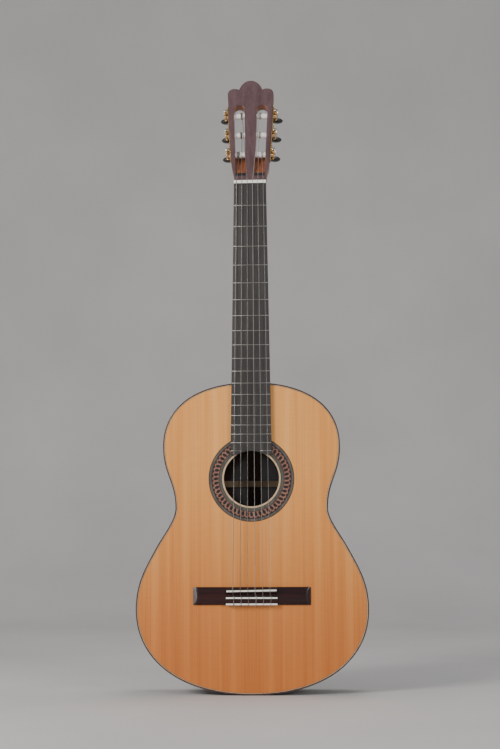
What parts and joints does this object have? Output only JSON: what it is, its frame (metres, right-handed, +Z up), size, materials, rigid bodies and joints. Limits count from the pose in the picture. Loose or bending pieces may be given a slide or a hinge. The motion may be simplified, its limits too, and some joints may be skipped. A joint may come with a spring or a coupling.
{
  "type": "classical guitar",
  "caption": "Small Spanish-style classical guitar with slotted head, geared tuners, mosaic rosette and tie bridge.",
  "frame": {"origin": "lowest point of the tail, on the centre plane, half way through the body's depth", "axes": "+Z up the neck, -Y out of the soundboard towards the listener, +X to the treble side"},
  "size_m": [0.3688, 0.1109, 0.9995],
  "materials": {
    "soundboard_wood": "glossy French-polished cedar or spruce with straight vertical grain",
    "rosewood": "glossy dark rosewood",
    "bridge_wood": "glossy near-black rosewood",
    "ebony": "satin ebony with bright fret wire let in",
    "cedar": "satin orange-brown cedar",
    "inner_spruce": "bare pale spruce",
    "head_wood": "satin purple-brown rosewood veneer",
    "mosaic": "inlaid wood mosaic under gloss finish",
    "bone": "polished bone",
    "roller_white": "smooth white roller",
    "nylon": "clear nylon",
    "wound_string": "fine silver-plated winding",
    "brass": "polished brass",
    "worm_steel": "bright nickel",
    "button_black": "polished black"
  },
  "bodies": {
    "root": {"soundboard": "soundboard_wood", "rosette": "mosaic", "back": "rosewood", "rib_treble": "rosewood", "rib_bass": "rosewood", "tail_inlay": "rosewood", "binding_top": "rosewood", "binding_back": "rosewood", "lining_top": "inner_spruce", "lining_back": "inner_spruce", "tail_block": "cedar", "harmonic_bar_upper": "inner_spruce", "harmonic_bar_lower": "inner_spruce", "soundhole_patch": "inner_spruce", "fan_bracing": "inner_spruce", "back_brace_lower": "inner_spruce", "back_brace_middle": "inner_spruce", "back_brace_upper": "inner_spruce", "back_centre_strip": "inner_spruce", "bridge": "bridge_wood", "saddle": "bone", "tie_inlay_front": "bone", "tie_inlay_rear": "bone", "neck": "cedar", "heel_cap": "rosewood", "head_veneer": "head_wood", "nut": "bone", "fretboard": "ebony", "tuner_plate_treble": "brass", "tuner_plate_bass": "brass", "string_1": "nylon", "string_2": "nylon", "string_3": "nylon", "string_4": "wound_string", "string_5": "wound_string", "string_6": "wound_string"},
    "tuner_1_knob": {"tuner_1_worm_shaft": "worm_steel", "tuner_1_button": "button_black"},
    "tuner_1_spool": {"tuner_1_roller": "roller_white", "tuner_1_gear": "brass"},
    "tuner_2_knob": {"tuner_2_worm_shaft": "worm_steel", "tuner_2_button": "button_black"},
    "tuner_2_spool": {"tuner_2_roller": "roller_white", "tuner_2_gear": "brass"},
    "tuner_3_knob": {"tuner_3_worm_shaft": "worm_steel", "tuner_3_button": "button_black"},
    "tuner_3_spool": {"tuner_3_roller": "roller_white", "tuner_3_gear": "brass"},
    "tuner_4_knob": {"tuner_4_worm_shaft": "worm_steel", "tuner_4_button": "button_black"},
    "tuner_4_spool": {"tuner_4_roller": "roller_white", "tuner_4_gear": "brass"},
    "tuner_5_knob": {"tuner_5_worm_shaft": "worm_steel", "tuner_5_button": "button_black"},
    "tuner_5_spool": {"tuner_5_roller": "roller_white", "tuner_5_gear": "brass"},
    "tuner_6_knob": {"tuner_6_worm_shaft": "worm_steel", "tuner_6_button": "button_black"},
    "tuner_6_spool": {"tuner_6_roller": "roller_white", "tuner_6_gear": "brass"}
  },
  "joints": [
    {"name": "tuner_1_button_turn", "type": "hinge", "parent": "root", "child": "tuner_1_knob", "pos_m": [0.03782, -0.03791, 0.87789], "axis": [0, 0.9781, -0.2079], "continuous": true},
    {"name": "tuner_1_roller_turn", "type": "hinge", "parent": "root", "child": "tuner_1_spool", "pos_m": [0.03172, -0.03009, 0.86779], "axis": [0.9982, -0.0124, -0.0584], "continuous": true},
    {"name": "tuner_2_button_turn", "type": "hinge", "parent": "root", "child": "tuner_2_knob", "pos_m": [0.03994, -0.03054, 0.91255], "axis": [0, 0.9781, -0.2079], "continuous": true},
    {"name": "tuner_2_roller_turn", "type": "hinge", "parent": "root", "child": "tuner_2_spool", "pos_m": [0.03383, -0.02272, 0.90246], "axis": [0.9982, -0.0124, -0.0584], "continuous": true},
    {"name": "tuner_3_button_turn", "type": "hinge", "parent": "root", "child": "tuner_3_knob", "pos_m": [0.04203, -0.02328, 0.94673], "axis": [0, 0.9781, -0.2079], "continuous": true},
    {"name": "tuner_3_roller_turn", "type": "hinge", "parent": "root", "child": "tuner_3_spool", "pos_m": [0.03592, -0.01545, 0.93663], "axis": [0.9982, -0.0124, -0.0584], "continuous": true},
    {"name": "tuner_4_button_turn", "type": "hinge", "parent": "root", "child": "tuner_4_knob", "pos_m": [-0.04203, -0.02328, 0.94673], "axis": [0, 0.9781, -0.2079], "continuous": true},
    {"name": "tuner_4_roller_turn", "type": "hinge", "parent": "root", "child": "tuner_4_spool", "pos_m": [-0.03592, -0.01545, 0.93663], "axis": [-0.9982, -0.0124, -0.0584], "continuous": true},
    {"name": "tuner_5_button_turn", "type": "hinge", "parent": "root", "child": "tuner_5_knob", "pos_m": [-0.03994, -0.03054, 0.91255], "axis": [0, 0.9781, -0.2079], "continuous": true},
    {"name": "tuner_5_roller_turn", "type": "hinge", "parent": "root", "child": "tuner_5_spool", "pos_m": [-0.03383, -0.02272, 0.90246], "axis": [-0.9982, -0.0124, -0.0584], "continuous": true},
    {"name": "tuner_6_button_turn", "type": "hinge", "parent": "root", "child": "tuner_6_knob", "pos_m": [-0.03782, -0.03791, 0.87789], "axis": [0, 0.9781, -0.2079], "continuous": true},
    {"name": "tuner_6_roller_turn", "type": "hinge", "parent": "root", "child": "tuner_6_spool", "pos_m": [-0.03172, -0.03009, 0.86779], "axis": [-0.9982, -0.0124, -0.0584], "continuous": true}
  ],
  "couplings": [
    {"joint": "tuner_1_roller_turn", "follows": "tuner_1_button_turn", "ratio": 0.0625},
    {"joint": "tuner_2_roller_turn", "follows": "tuner_2_button_turn", "ratio": 0.0625},
    {"joint": "tuner_3_roller_turn", "follows": "tuner_3_button_turn", "ratio": 0.0625},
    {"joint": "tuner_4_roller_turn", "follows": "tuner_4_button_turn", "ratio": 0.0625},
    {"joint": "tuner_5_roller_turn", "follows": "tuner_5_button_turn", "ratio": 0.0625},
    {"joint": "tuner_6_roller_turn", "follows": "tuner_6_button_turn", "ratio": 0.0625}
  ]
}
